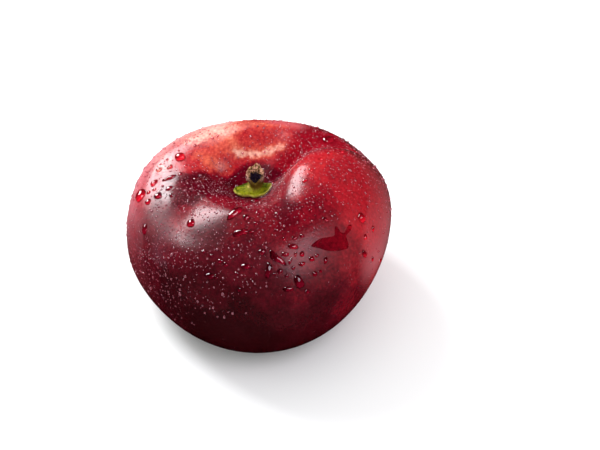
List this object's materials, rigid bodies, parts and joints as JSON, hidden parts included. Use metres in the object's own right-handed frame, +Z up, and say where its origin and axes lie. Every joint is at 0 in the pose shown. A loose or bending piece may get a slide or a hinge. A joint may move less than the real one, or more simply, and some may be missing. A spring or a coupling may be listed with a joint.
{
  "type": "nectarine",
  "caption": "Flat nectarine with a hollow round its dried stalk stub and a suture crease; rests on its underside as loose fruit for bowls, crates and market displays.",
  "frame": {"origin": "on the resting plane, under the middle of the whole part's box", "axes": "+Z up out of the stem hollow, +Y away from the low front rim, +X towards the lobe beside the suture crease"},
  "size_m": [0.0738, 0.073, 0.0461],
  "materials": {
    "skin": "smooth waxy fruit skin, satin to glossy, dark red with lighter red and cream patches",
    "stalk": "matt, green at the collar, dried and dark at the tip",
    "water": "clear water beads on the skin"
  },
  "bodies": {
    "root": {"fruit": "skin", "stem": "stalk"}
  },
  "joints": []
}
